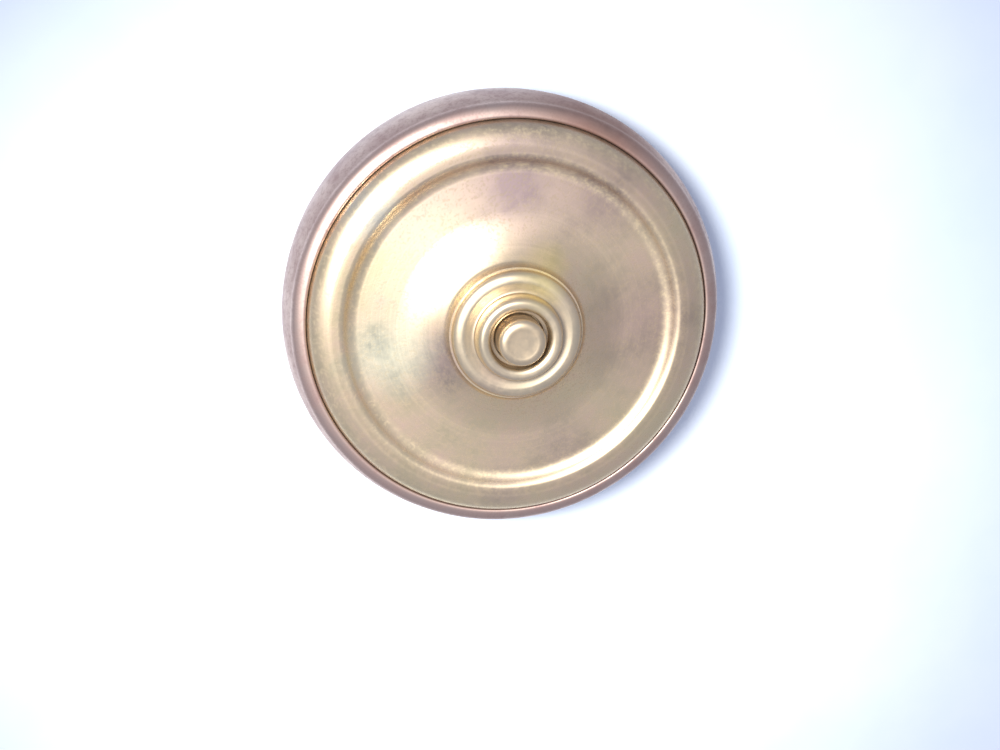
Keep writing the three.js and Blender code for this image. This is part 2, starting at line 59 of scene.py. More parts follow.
camera = {
    "stand": (0, -54.6, 179.1),        # millimetres from the middle of the cap's foot
    "aim": (6.46, 9.25, 12.5),
    "roll": 152.7,        # degrees, the cap lies askew in the view
    "lens": 36,
    "sensor": 36,
    "near": 0.01,        # metres, nothing closer than this is drawn
}

lamp = {
    "stand": (27, -75, 172.5),
    "aim": (20, 75, 0),
    "width": 50,
    "spread": 100,        # degrees
    "power": 0.26,        # watts, because it stands so close
}

sky = {"colour": (0.52, 0.56, 0.73), "strength": 0.85}

floor = {
    "reach": 900, "squares": 8, "colour": (0.88, 0.94, 1.0), "shade": (0.78, 0.87, 0.98), "roughness": 0.75,
    "cloud": 9, "tooth": 700, "bump": (0.05, 0.3),
}


def placeCamera():
    data = bpy.data.cameras.new("capCamera")
    data.lens = camera["lens"]
    data.sensor_width = camera["sensor"]
    data.clip_start = camera["near"]
    eye = bpy.data.objects.new("capCamera", data)
    bpy.context.scene.collection.objects.link(eye)
    stand, aim = Vector(camera["stand"]), Vector(camera["aim"])
    look = (aim - stand).to_track_quat("-Z", "Y")
    eye.rotation_mode = "QUATERNION"
    eye.rotation_quaternion = look @ Quaternion((0, 0, 1), radians(camera["roll"]))
    eye.location = stand * millimetre
    bpy.context.scene.camera = eye
    bpy.context.scene.view_settings.view_transform = "Standard"


def hangLights():
    data = bpy.data.lights.new("nearLamp", "AREA")
    data.shape = "DISK"
    data.size = lamp["width"] * millimetre
    data.spread = radians(lamp["spread"])
    data.energy = lamp["power"]
    light = bpy.data.objects.new("nearLamp", data)
    bpy.context.scene.collection.objects.link(light)
    stand, aim = Vector(lamp["stand"]), Vector(lamp["aim"])
    light.rotation_mode = "QUATERNION"
    light.rotation_quaternion = (aim - stand).to_track_quat("-Z", "Y")
    light.location = stand * millimetre
    world = bpy.data.worlds.new("room")
    world.use_nodes = True
    air = world.node_tree.nodes["Background"]
    air.inputs["Color"].default_value = (*sky["colour"], 1)
    air.inputs["Strength"].default_value = sky["strength"]
    bpy.context.scene.world = world


class Signal:        # an output socket that takes part in arithmetic
    def __init__(self, recipe, socket):
        self.recipe, self.socket = recipe, socket

    def __add__(self, other):
        return self.recipe.maths("ADD", self, other)

    def __radd__(self, other):
        return self.recipe.maths("ADD", other, self)

    def __sub__(self, other):
        return self.recipe.maths("SUBTRACT", self, other)

    def __rsub__(self, other):
        return self.recipe.maths("SUBTRACT", other, self)

    def __mul__(self, other):
        return self.recipe.maths("MULTIPLY", self, other)

    def __rmul__(self, other):
        return self.recipe.maths("MULTIPLY", other, self)

    def __truediv__(self, other):
        return self.recipe.maths("DIVIDE", self, other)

    def __rtruediv__(self, other):
        return self.recipe.maths("DIVIDE", other, self)

    def __pow__(self, other):
        return self.recipe.maths("POWER", self, other)

    def __abs__(self):
        return self.recipe.maths("ABSOLUTE", self)


class Recipe:        # a material and the nodes that it is made of
    def __init__(self, name):
        self.material = bpy.data.materials.new(name)
        self.material.use_nodes = True
        self.tree = self.material.node_tree
        self.tree.nodes.clear()
        self.place = self.add("ShaderNodeTexCoord", output="Object")

    def add(self, kind, settings=None, sockets=None, output=0):
        node = self.tree.nodes.new(kind)
        for name, value in (settings or {}).items():
            if name == "stops":
                self.setStops(node.color_ramp, value)
            else:
                setattr(node, name, value)
        for name, value in (sockets or {}).items():
            if isinstance(value, Signal):
                self.tree.links.new(value.socket, node.inputs[name])
            else:
                node.inputs[name].default_value = value
        if output is not None:
            return Signal(self, node.outputs[output])

    def setStops(self, ramp, stops):
        while len(ramp.elements) < len(stops):
            ramp.elements.new(1)
        for element, (position, level) in zip(ramp.elements, stops):
            element.position = position
            element.color = (level, level, level, 1)

    def maths(self, operation, *values):
        return self.add("ShaderNodeMath", {"operation": operation}, dict(enumerate(values)))

    def split(self, vector):
        first = self.add("ShaderNodeSeparateXYZ", sockets={"Vector": vector}, output="X")
        outputs = first.socket.node.outputs
        return [Signal(self, outputs[name]) for name in "XYZ"]

    def noise(self, scale, detail=4, rough=0.55, vector=None, stretch=(1, 1, 1)):
        sockets = {"Vector": vector or self.place, "Scale": stretch}
        mapped = self.add("ShaderNodeMapping", sockets=sockets)
        sockets = {"Vector": mapped, "Scale": scale, "Detail": detail, "Roughness": rough}
        return self.add("ShaderNodeTexNoise", sockets=sockets)

    def ramp(self, value, *stops):        # a grey ramp, stops are (position, level)
        return self.add("ShaderNodeValToRGB", {"stops": stops}, {"Fac": value})

    def tint(self, mask, under, over):
        under, over = [c if isinstance(c, Signal) else (*c, 1) for c in (under, over)]
        return self.add("ShaderNodeMix", {"data_type": "RGBA"}, {0: mask, 6: under, 7: over}, output=2)

    def near(self, value, middle, reach):        # 1 at the middle, falling to 0 at its reach
        return self.maths("MAXIMUM", 1 - abs(value - middle) / reach, 0)

    def bump(self, height, depth, strength):        # depth in millimetres
        sockets = {"Height": height, "Distance": depth * millimetre, "Strength": strength}
        return self.add("ShaderNodeBump", sockets=sockets)

    def finish(self, **sockets):
        names = {name.replace("_", " "): value for name, value in sockets.items()}
        shader = self.add("ShaderNodeBsdfPrincipled", sockets=names)
        self.add("ShaderNodeOutputMaterial", sockets={"Surface": shader}, output=None)
        return self.material


# in millimetres, worn, and dirt and painted shade: radius, height, reach, strength; stains and painted
# light: x, y, reach, strength, colour
brasses = {
    "skirt_brass": {
        "clean": (0.52, 0.39, 0.325), "tarnish": (0.33, 0.215, 0.19), "deep": (0.18, 0.11, 0.10),
        "cover": 0.62, "speckle": 0.25, "roughness": 0.42, "marks": 0.2,
        "worn": [(34.7, 22.9, 1.5, 0.8), (36.7, 20.4, 2.2, 0.4), (36.6, 0.6, 1.2, 0.4)],
        "dirtAndShade": [(33.85, 22.5, 0.4, 0.2), (36.4, 21.2, 0.4, 0.2)],
        # painted shade: this dark red-brown blot is part tarnish, part shade painted where the skirt
        # reflects the dim room
        "stainsAndPaintedLight": [(-30, -20, 16, 0.7, (0.22, 0.11, 0.08))],
    },
    "plate_brass": {
        "clean": (0.74, 0.60, 0.37), "tarnish": (0.52, 0.38, 0.29), "deep": (0.27, 0.21, 0.13),
        "cover": 0.55, "speckle": 0.45, "roughness": 0.34, "marks": 0.15,
        "worn": [(28.3, 22.8, 0.8, 0.4), (32.4, 22.0, 1.6, 0.7), (26.8, 21.4, 1.4, 0.55)],
        "dirtAndShade": [(33.7, 20.3, 0.5, 0.2), (29.4, 22.9, 1.1, 0.3), (11.2, 24.6, 0.7, 0.3)],
        "stainsAndPaintedLight": [
            # painted shade: the eight dark blots below are partly purple tarnish and partly shade painted
            # where the dish reflects the dim room, to hold its highlight in
            (-13, -21, 15, 0.95, (0.28, 0.205, 0.20)),
            (-24, -11, 12, 0.8, (0.31, 0.225, 0.205)),
            (0, -27, 9, 0.5, (0.34, 0.25, 0.235)),
            (-20, 12, 15, 0.7, (0.38, 0.27, 0.23)),
            (4, 24, 9, 0.6, (0.42, 0.31, 0.26)),
            (16, 23, 6, 0.6, (0.40, 0.30, 0.26)),
            (13, -3, 9, 0.9, (0.38, 0.29, 0.25)),
            (9, -13, 4, 0.5, (0.40, 0.30, 0.27)),
            # painted highlight: these two pale blots paint a sheen on the dish floor and a highlight on the
            # near rim
            (20, -8, 9, 0.9, (0.82, 0.77, 0.54)),
            (9, -29, 6, 0.9, (0.86, 0.80, 0.64)),
            (-9.5, -6, 5, 0.8, (0.74, 0.58, 0.24)),
        ],
    },
    "boss_brass": {
        "clean": (0.64, 0.53, 0.36), "tarnish": (0.52, 0.41, 0.285), "deep": (0.30, 0.20, 0.13),
        "cover": 0.45, "speckle": 0.15, "roughness": 0.36, "marks": 0.15,
        "worn": [(9.2, 26.65, 1.0, 0.4), (6.05, 29.2, 0.9, 0.4)],
        # painted shade: the middle band darkens the well round the button, where the button's shadow falls;
        # the other two are dirt in the grooves
        "dirtAndShade": [(7.5, 26.4, 0.9, 0.3), (4.7, 27.0, 1.5, 0.5), (10.8, 25.2, 0.7, 0.3)],
        "stainsAndPaintedLight": [(-8, -5, 5, 0.8, (0.84, 0.68, 0.30)), (8, 4, 5, 0.4, (0.50, 0.36, 0.28))],
    },
    "button_brass": {
        "clean": (0.64, 0.51, 0.34), "tarnish": (0.53, 0.41, 0.27), "deep": (0.34, 0.23, 0.14),
        "cover": 0.4, "speckle": 0.12, "roughness": 0.36, "marks": 0.08,
        "worn": [(3.3, 30.7, 0.9, 0.6)],
        # painted shade: darkens the foot of the button down in the well, where its shadow falls
        "dirtAndShade": [(3.9, 27.2, 1.4, 0.4)],
        "stainsAndPaintedLight": [],
    },
    "inner_brass": {
        "clean": (0.83, 0.66, 0.36), "tarnish": (0.66, 0.50, 0.28), "deep": (0.34, 0.26, 0.14),
        "cover": 0.35, "speckle": 0.25, "roughness": 0.33, "marks": 0.6,
        "worn": [],
        "dirtAndShade": [(26.0, 15.3, 0.8, 0.6), (30.0, 13.6, 0.6, 0.6)],
        "stainsAndPaintedLight": [(0, 28, 18, 0.5, (0.52, 0.38, 0.22))],
    },
}


patina = {        # what the brasses share: noise scales, where masks begin and end, and the bumps
    "turning": 2.2, "cloud": 150, "grain": 900, "speck": 2300,
    "cover": (0.60, 0.74), "spots": (0.50, 0.60), "stainAndLight": 0.8, "worn": (0.35, 0.6),
    "stainAndShadeDull": 0.55, "bump": (0.03, 0.6),
}


def agedBrass(name, look):
    mix = Recipe(name)
    x, y, z = mix.split(mix.place)
    radius = (x * x + y * y) ** 0.5 / millimetre
    height = z / millimetre
    section = mix.add("ShaderNodeCombineXYZ", sockets={"X": radius, "Y": height})
    turning = mix.noise(patina["turning"], 5, 0.7, vector=section)        # tool marks run round the piece
    cloud = mix.noise(patina["cloud"], 5, 0.6)
    grain = mix.noise(patina["grain"], 4, 0.65)
    speck = mix.noise(patina["speck"], 2, 0.5)
    thin, thick = patina["cover"]
    cover = mix.ramp(cloud + (grain - 0.5) * 0.35, (thin - look["cover"] * 0.45, 0), (thick, 1))
    few, many = patina["spots"]
    spots = mix.ramp(speck * 0.6 + grain * 0.4, (few, 0), (many, 1)) * look["speckle"]
    colour = mix.tint(cover, look["clean"], look["tarnish"])
    dull = 0
    # each blot is a real stain, painted shade or a painted highlight, centred at x, y
    for left, along, reach, strength, stainAndLight in look["stainsAndPaintedLight"]:
        across, deep = x / millimetre - left, y / millimetre - along
        away = (across * across + deep * deep) ** 0.5 + (cloud - 0.5) * reach
        blot = mix.ramp(mix.near(away, 0, reach), (0, 0), (patina["stainAndLight"], 1))
        colour = mix.tint(blot * strength, colour, stainAndLight)
        dull = blot * strength * (patina["stainAndShadeDull"] - stainAndLight[1]) + dull        # dark blots shine less, painted shade as well as tarnish
    colour = mix.tint(spots, colour, look["deep"])
    polish = 0
    rubbed, bare = patina["worn"]
    for r, h, reach, strength in look["worn"]:
        edge = mix.near(radius, r, reach) * mix.near(height, h, reach) * strength
        edge = edge * mix.ramp(grain, (rubbed, rubbed), (bare, 1))
        colour = mix.tint(edge, colour, look["clean"])
        polish = edge + polish
    # dark bands: dirt in the grooves, and painted shade in the well round the button
    for r, h, reach, strength in look["dirtAndShade"]:
        groove = mix.near(radius, r, reach) * mix.near(height, h, reach) * strength
        colour = mix.tint(groove * (0.6 + cloud * 0.8), colour, look["deep"])
    rough = look["roughness"] + cover * 0.10 + spots * 0.15 + (turning - 0.5) * 0.12
    rough = rough - polish * 0.08 + dull * 0.4
    relief = turning * look["marks"] + grain * 0.35 + spots * -0.25
    return mix.finish(
        Base_Color=colour,
        Metallic=0.97 - cover * 0.12 - spots * 0.25,
        Roughness=rough,
        Normal=mix.bump(relief, *patina["bump"]),
    )


rubber = {
    "colour": (0.022, 0.022, 0.023), "bloom": (0.075, 0.073, 0.07), "roughness": 0.62,
    "cloud": 240, "grain": 2600, "bump": (0.04, 0.5),
}


def nitrileRubber(name, look):
    mix = Recipe(name)
    cloud = mix.noise(look["cloud"], 5)
    grain = mix.noise(look["grain"], 3)
    bloom = mix.ramp(cloud, (0.45, 0), (0.72, 1))        # pale bloom that old rubber sweats
    colour = mix.tint(bloom * 0.7, look["colour"], look["bloom"])
    return mix.finish(
        Base_Color=colour,
        Roughness=look["roughness"] + bloom * 0.18 + (grain - 0.5) * 0.2,
        Normal=mix.bump(grain * 0.6 + cloud * 0.4, *look["bump"]),
    )


fibre = {
    "colour": (0.30, 0.075, 0.045), "pale": (0.42, 0.14, 0.09), "roughness": 0.7,
    "layers": 500, "fleck": 2200, "pressed": (0.6, 0.6, 6), "bump": (0.05, 0.5),
}


def vulcanFibre(name, look):
    mix = Recipe(name)
    layers = mix.noise(look["layers"], 4, stretch=look["pressed"])        # pressed sheets show at the edge
    fleck = mix.noise(look["fleck"], 3)
    colour = mix.tint(mix.ramp(layers, (0.4, 0), (0.65, 1)), look["colour"], look["pale"])
    colour = mix.tint(mix.ramp(fleck, (0.55, 0), (0.7, 0.5)), colour, look["pale"])
    return mix.finish(
        Base_Color=colour,
        Roughness=look["roughness"] + (fleck - 0.5) * 0.25,
        Normal=mix.bump(layers * 0.6 + fleck * 0.4, *look["bump"]),
    )


steels = {
    "screw_steel": {
        "colour": (0.56, 0.56, 0.57), "dull": (0.36, 0.35, 0.34), "roughness": 0.3,
        "drawn": 5, "cloud": 420, "draw": (1, 1, 1), "bump": (0.02, 0.5),
    },
    "spring_steel": {
        "colour": (0.50, 0.51, 0.53), "dull": (0.30, 0.28, 0.26), "roughness": 0.28,
        "drawn": 5, "cloud": 420, "draw": (1, 1, 3), "bump": (0.02, 0.5),
    },
}


def plainSteel(name, look):
    mix = Recipe(name)
    x, y, z = mix.split(mix.place)
    radius = (x * x + y * y) ** 0.5 / millimetre
    section = mix.add("ShaderNodeCombineXYZ", sockets={"X": radius, "Y": z / millimetre})
    drawn = mix.noise(look["drawn"], 4, 0.7, vector=section)
    cloud = mix.noise(look["cloud"], 5, stretch=look["draw"])
    dull = mix.ramp(cloud, (0.42, 0), (0.68, 1))
    colour = mix.tint(dull * 0.7, look["colour"], look["dull"])
    return mix.finish(
        Base_Color=colour,
        Metallic=1 - dull * 0.15,
        Roughness=look["roughness"] + dull * 0.16 + (drawn - 0.5) * 0.15,
        Normal=mix.bump(drawn * 0.5 + cloud * 0.3, *look["bump"]),
    )


def paleSheet(name, look):
    mix = Recipe(name)
    cloud = mix.noise(look["cloud"], 5, 0.6)
    tooth = mix.noise(look["tooth"], 3)
    return mix.finish(
        Base_Color=mix.tint(mix.ramp(cloud, (0.4, 0), (0.65, 1)), look["colour"], look["shade"]),
        Roughness=look["roughness"] + (tooth - 0.5) * 0.1,
        Normal=mix.bump(tooth, *look["bump"]),
    )


finishes = {name: agedBrass(name, look) for name, look in brasses.items()}
finishes |= {name: plainSteel(name, look) for name, look in steels.items()}
finishes["gasket_rubber"] = nitrileRubber("gasket_rubber", rubber)
finishes["red_fibre"] = vulcanFibre("red_fibre", fibre)
print("materials made:", len(finishes))


steps = {        # faces round a piece, round a wire and over a rounded edge
    "ring": 192, "core": 128, "small": 64, "hole": 32, "thread": 96, "wire": 16, "edge": 4,
}
overrun = 1        # millimetres that a cutter runs past what it cuts
weld = {"turned": 1e-7, "carved": 1e-6}        # metres, points closer than this are merged
bodies = frame["record"]["behaviour"]["bodies"]
bodyOf = {node: body for body, nodes in bodies.items() for node in nodes}
slotOf = {part["node"]: part["material_slot"] for part in frame["record"]["subparts"]}


def corners(node):        # a CAD node's box, in millimetres
    return [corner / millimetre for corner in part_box(node)]


class Outline:        # half a section in (radius, height), in millimetres
    def __init__(self, radius, height, curve=0):
        self.points, self.curves = [], {}
        self.to(radius, height, curve)

    def to(self, radius, height, curve=0):        # straight to a corner, which curve rounds
        if curve:
            self.curves[len(self.points)] = curve
        self.points.append((radius, height))
        return self

    def bow(self, pull, end, count=12):        # a bow towards pull that ends at end
        start, pull, end = Vector(self.points[-1]), Vector(pull), Vector(end)
        for step in range(1, count + 1):
            t = step / count
            point = start * (1 - t) ** 2 + pull * 2 * t * (1 - t) + end * t ** 2
            self.to(*point)
        return self


def turn(outline, count):        # spins an outline about Z
    bm = bmesh.new()
    verts = [bm.verts.new((r * millimetre, 0, h * millimetre)) for r, h in outline.points]
    closed = outline.points[0][0] > 0
    for pair in zip(verts, verts[1:] + verts[:1] if closed else verts[1:]):
        bm.edges.new(pair)
    for size in sorted(set(outline.curves.values())):
        chosen = [verts[i] for i, curve in outline.curves.items() if curve == size]
        bmesh.ops.bevel(bm, geom=chosen, offset=size * millimetre, offset_type="OFFSET",
                        segments=steps["edge"], profile=0.5, affect="VERTICES", material=-1)
    bmesh.ops.spin(bm, geom=bm.verts[:] + bm.edges[:], cent=(0, 0, 0), axis=(0, 0, 1), angle=2 * pi,
                   steps=count, use_merge=True)
    bmesh.ops.remove_doubles(bm, verts=bm.verts[:], dist=weld["turned"])
    bmesh.ops.recalc_face_normals(bm, faces=bm.faces[:])
    return bm


def ring(inner, outer, low, high, curve, count):
    outline = Outline(inner, low, curve).to(outer, low, curve).to(outer, high, curve).to(inner, high, curve)
    return turn(outline, count)


def rod(radius, low, high, count, spot=(0, 0)):        # an upright rod or prism
    bm = bmesh.new()
    size = radius * millimetre
    middle = Vector((*spot, (low + high) / 2)) * millimetre
    bmesh.ops.create_cone(bm, cap_ends=True, segments=count, radius1=size, radius2=size,
                          depth=(high - low) * millimetre, matrix=Matrix.Translation(middle))
    return bm


def block(low, high):
    bm = bmesh.new()
    low, high = Vector(low) * millimetre, Vector(high) * millimetre
    size = Matrix.Diagonal((*(high - low), 1))
    bmesh.ops.create_cube(bm, size=1, matrix=Matrix.Translation((low + high) / 2) @ size)
    return bm


def wireEnd(centre, wire, low, sides):        # the round face that a wire starts from
    bm = bmesh.new()
    place = Matrix.Translation(Vector((centre, 0, low)) * millimetre) @ Matrix.Rotation(pi / 2, 4, "X")
    bmesh.ops.create_circle(bm, cap_ends=True, segments=sides, radius=wire * millimetre, matrix=place)
    return bm


def coil(centre, wire, pitch, turns, low, sides, count):        # a wire wound up from a height
    bm = wireEnd(centre, wire, low, sides)
    wind(bm, bm.faces[:], pitch, turns, count)
    return bm


def wind(bm, end, pitch, turns, count):        # carries an end face on round the axis
    count = round(count * turns)
    rise = (0, 0, pitch * turns / count * millimetre)
    made = bmesh.ops.spin(bm, geom=end, cent=(0, 0, 0), axis=(0, 0, 1), dvec=rise,
                          angle=2 * pi * turns, steps=count, use_merge=False)
    return [item for item in made["geom_last"] if isinstance(item, bmesh.types.BMFace)]


def around(count, radius, low, high, hole):        # rods round a circle, to be cut out
    angles = [2 * pi * i / count for i in range(count)]
    return [rod(hole, low, high, steps["hole"], (radius * cos(a), radius * sin(a))) for a in angles]


def put(name, bm):        # an object from a bmesh
    mesh = bpy.data.meshes.new(name)
    bm.to_mesh(mesh)
    bm.free()
    made = bpy.data.objects.new(name, mesh)
    bpy.context.scene.collection.objects.link(made)
    return made


def carve(bm, tools, operation="DIFFERENCE"):        # cuts, joins or meets solids, in order
    body = put("stock", bm)
    tools = [put("tool", tool) for tool in tools]
    for tool in tools:
        change = body.modifiers.new("carve", "BOOLEAN")
        change.operation = operation
        change.solver = "EXACT"
        change.object = tool
    graph = bpy.context.evaluated_depsgraph_get()
    result = bmesh.new()
    result.from_mesh(bpy.data.meshes.new_from_object(body.evaluated_get(graph)))
    for used in [body, *tools]:
        bpy.data.objects.remove(used)
    bmesh.ops.remove_doubles(result, verts=result.verts[:], dist=weld["carved"])
    bmesh.ops.dissolve_degenerate(result, edges=result.edges[:], dist=weld["carved"])
    return result


def hexagonBar(reach, low, high, chamfer):        # a hexagon with its corners turned off
    run, drop = chamfer
    outline = Outline(0, low).to(reach - run, low).to(reach, low + drop)
    outline.to(reach, high - drop).to(reach - run, high).to(0, high)
    return carve(rod(reach, low, high, 6), [turn(outline, steps["small"])], "INTERSECT")


def fit(name, bm, node, sharp=34):        # hands a finished piece to its body
    piece = put(name, bm)
    piece.data.shade_smooth()
    piece.data.set_sharp_from_angle(angle=radians(sharp))
    piece.data.materials.append(finishes[slotOf[node]])
    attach(piece, bodyOf[node])
    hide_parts(node)
    return piece


skirt = {
    "wall": 2.6, "footWall": 2.1, "footInset": 1.4, "footRound": 0.8, "footEdge": 0.25,
    "widest": 12.5,        # height from which the wall is upright
    "swell": 5,        # height that the curve under it is pulled to
    "shoulder": (36.4, 1.65),        # radius, and how far under the top
    "shoulderCurve": 2.7,
    "bead": (0.1, 0.25),        # how far in and down its curve is pulled
    "crest": 34.4, "groove": 0.35, "rebate": 33.9,
    "ledge": (30.2, 15.7),        # radius, height
    "ledgeCurve": 0.8, "ledgeEdge": 0.2,
    "innerEnd": 0.001,        # the inner curve ends this far over the foot
}


def makeSkirt():
    low, high = corners("skirt_ring")
    seat = corners("top_plate")[0].z
    reach, top = high.x, high.z
    foot = reach - skirt["footInset"]
    inside = reach - skirt["wall"]
    shoulder, drop = skirt["shoulder"]
    step = top - drop
    ledgeRadius, ledge = skirt["ledge"]
    rebate = skirt["rebate"]
    inFoot = foot - skirt["footWall"]
    ledgeEdge = skirt["ledgeEdge"]
    outline = Outline(inFoot, low.z, skirt["footEdge"]).to(foot - skirt["footRound"], low.z)
    outline.bow((foot, low.z), (foot, low.z + skirt["footRound"]), 6)
    outline.bow((reach, skirt["swell"]), (reach, skirt["widest"]), 24)
    outline.bow((reach, step - skirt["shoulderCurve"]), (shoulder, step), 16)
    beadRun, beadDrop = skirt["bead"]
    outline.bow((shoulder - beadRun, top - beadDrop), (skirt["crest"], top), 16)
    outline.bow((rebate, top), (rebate, top - skirt["groove"]), 8)
    outline.to(rebate, seat).to(ledgeRadius, seat, ledgeEdge).to(ledgeRadius, ledge, ledgeEdge)
    outline.to(inside - skirt["ledgeCurve"], ledge)
    outline.bow((inside, ledge), (inside, ledge - skirt["ledgeCurve"]), 6)
    outline.to(inside, skirt["widest"])
    outline.bow((inside, skirt["swell"]), (inFoot, low.z + skirt["innerEnd"]), 16)
    outline.points.pop()        # the bow ends where the outline began
    bm = turn(outline, steps["ring"])
    holes = around(screw["count"], screw["circle"], ledge - overrun, seat + overrun, screw["hole"])
    fit("skirtRing", carve(bm, holes), "skirt_ring")


plate = {
    "thickness": 2, "edge": 2.8, "edgeBevel": 0.25, "rimRise": 3.3,
    "crest": (30.1, 5.45),        # radius and rise over the seat, as in flat, bend and neck
    "rimPull": (3.0, 0.4),        # how far out and down its curve is pulled
    "lip": (28.3, 0.12, 0.6),        # radius, fall from the crest, rounding
    "trough": (26.9, 25.7, 3.85),        # outer and inner radius, rise
    "flat": (19.5, 4.0), "bend": (15.5, 4.25), "neck": (11.9, 6.4),
    "neckPull": (0.4, 0.3), "land": 11.1, "landUnder": 22.7,
    "seat": (22.4, 1.4),        # radius of its inner edge, undercut
    "hole": 6.6, "holeEdge": 0.1, "seatEdge": 0.1, "footEdge": 0.2, "rimEdge": 0.15, "spare": 0.1,
}


def makePlate():
    low, high = corners("top_plate")
    seat, land = low.z, high.z
    edge = high.x
    crest, crestRise = plate["crest"]
    top = seat + crestRise
    pullOut, pullDown = plate["rimPull"]
    lip, fall, soft = plate["lip"]
    foot, trough, troughRise = plate["trough"]
    flat, flatRise = plate["flat"]
    bend, bendRise = plate["bend"]
    neck, neckRise = plate["neck"]
    neckIn, neckUp = plate["neckPull"]
    under, undercut = plate["seat"]
    hole, holeEdge = plate["hole"], plate["holeEdge"]
    outline = Outline(hole, plate["landUnder"], holeEdge).to(plate["land"], plate["landUnder"])
    outline.bow((bend, seat + bendRise - plate["thickness"]), (under - undercut, seat + undercut), 20)
    outline.to(under, seat, plate["seatEdge"]).to(edge, seat, plate["footEdge"])
    outline.to(edge, seat + plate["edge"], plate["rimEdge"])
    outline.to(edge - plate["edgeBevel"], seat + plate["rimRise"])
    outline.bow((crest + pullOut, top - pullDown), (crest, top), 20)
    outline.to(lip + soft, top - fall)
    outline.bow((lip, top - fall), (lip - soft, top - fall - soft), 12)
    outline.bow((foot, seat + troughRise), (trough, seat + troughRise), 16)
    outline.to(flat, seat + flatRise)
    outline.bow((bend, seat + bendRise), (neck, seat + neckRise), 32)
    outline.bow((neck - neckIn, seat + neckRise + neckUp), (plate["land"], land), 12)
    outline.to(hole, land, holeEdge)
    bm = turn(outline, steps["ring"])
    depth = screw["engagement"] + plate["spare"]
    holes = around(screw["count"], screw["circle"], seat - overrun, seat + depth, screw["tapped"])
    fit("topPlate", carve(bm, holes), "top_plate")


boss = {
    "outer": (10.8, 1.65),        # radius, rise over the plate
    "inner": 7.2, "hollow": 0.5,
    "well": (4.9, 2.2),        # radius, depth
    "wellRound": 0.8, "wellEdge": 0.25, "bore": 4.1, "boreEdge": 0.15, "lip": 1.4,
    "spigot": 6.5, "spigotEdge": 0.3, "chamber": 5.2, "chamberEdge": 0.2,
    "sharp": 45,        # degrees, a corner that turns more than this stays an edge
}


def makeBoss():
    low, high = corners("boss_collar")
    land = corners("top_plate")[1].z
    outer, rise = boss["outer"]
    inner, top, step = boss["inner"], high.z, land + rise
    wellRadius, wellDepth = boss["well"]
    well = top - wellDepth
    spigot = boss["spigot"]
    outline = Outline(boss["chamber"], low.z, boss["chamberEdge"]).to(spigot, low.z, boss["spigotEdge"])
    outline.to(spigot, land).to(outer, land)
    outline.bow((outer, step), ((outer + inner) / 2, step), 16)
    outline.bow((inner, step - boss["hollow"]), (inner, step), 16)
    outline.bow((inner, top), ((inner + wellRadius) / 2, top), 16)
    outline.bow((wellRadius, top), (wellRadius, top - boss["wellRound"]), 12)
    outline.to(wellRadius, well, boss["wellEdge"]).to(boss["bore"], well, boss["boreEdge"])
    outline.to(boss["bore"], well - boss["lip"]).to(boss["chamber"], well - boss["lip"])
    fit("bossCollar", turn(outline, steps["core"]), "boss_collar", boss["sharp"])


button = {
    "radius": 3.9, "round": 1.3, "dish": 0.12, "shoulder": 1.6, "overlap": 0.4, "corners": 5.0,
    "chamfer": (0.4, 0.3),        # run, drop
    "hole": 1.65, "depth": 3.5,
}


def makeButton():
    low, high = corners("vent_button")
    top, radius = high.z, button["radius"]
    shoulder = low.z + button["shoulder"]
    root = shoulder - button["overlap"]
    outline = Outline(0, root).to(radius, root).to(radius, top - button["round"])
    outline.bow((radius, top), (radius - button["round"], top), 12)
    outline.bow((radius / 2, top - button["dish"]), (0, top - button["dish"]), 8)
    hexagon = hexagonBar(button["corners"], low.z, shoulder, button["chamfer"])
    head = carve(turn(outline, steps["core"]), [hexagon], "UNION")
    hole = rod(button["hole"], low.z - overrun, low.z + button["depth"], steps["hole"])
    fit("ventButton", carve(head, [hole]), "vent_button")


collar = {
    "bore": 26, "outside": 30, "outsideEdge": 0.4, "chamfer": 0.8,
    "flange": (34.6, 2),        # radius, thickness
    "flangeEdge": 0.3, "faceEdge": 0.2,
    "recess": (27.6, 15.5),        # radius, height of its floor
    "recessEdge": 0.15, "ledge": 15.7, "thread": 1, "pitch": 2.8,
}


def makeCollar():
    low, high = corners("threaded_collar")
    bore, outside = collar["bore"], collar["outside"]
    flange, thickness = collar["flange"]
    recess, seat = collar["recess"]
    ledge = collar["ledge"]
    underFlange = ledge - thickness
    flangeEdge, faceEdge, recessEdge = collar["flangeEdge"], collar["faceEdge"], collar["recessEdge"]
    outline = Outline(bore + collar["chamfer"], low.z).to(outside, low.z, collar["outsideEdge"])
    outline.to(outside, underFlange, flangeEdge).to(flange, underFlange, flangeEdge)
    outline.to(flange, ledge, faceEdge).to(outside, ledge).to(outside, high.z, faceEdge)
    outline.to(recess, high.z, recessEdge).to(recess, seat)
    outline.to(bore, seat, recessEdge).to(bore, low.z + collar["chamfer"])
    start = low.z - collar["pitch"]
    turns = ceil((seat - start) / collar["pitch"])
    thread = coil(bore, collar["thread"], collar["pitch"], turns, start, steps["wire"], steps["thread"])
    holes = around(screw["count"], screw["circle"], underFlange - overrun, ledge + overrun, screw["clear"])
    fit("threadedCollar", carve(turn(outline, steps["ring"]), [thread, *holes]), "threaded_collar")


gasket = {
    "inner": 23.4,
    "land": (25.8, 15.5),        # outer radius, and the height where it widens
    "edge": 0.2,
}


def makeGasket():
    low, high = corners("neck_gasket")
    inner, edge = gasket["inner"], gasket["edge"]
    land, step = gasket["land"]
    outline = Outline(inner, low.z, edge).to(land, low.z, edge).to(land, step).to(high.x, step, edge)
    outline.to(high.x, high.z, edge).to(inner, high.z, edge)
    fit("neckGasket", turn(outline, steps["ring"]), "neck_gasket")


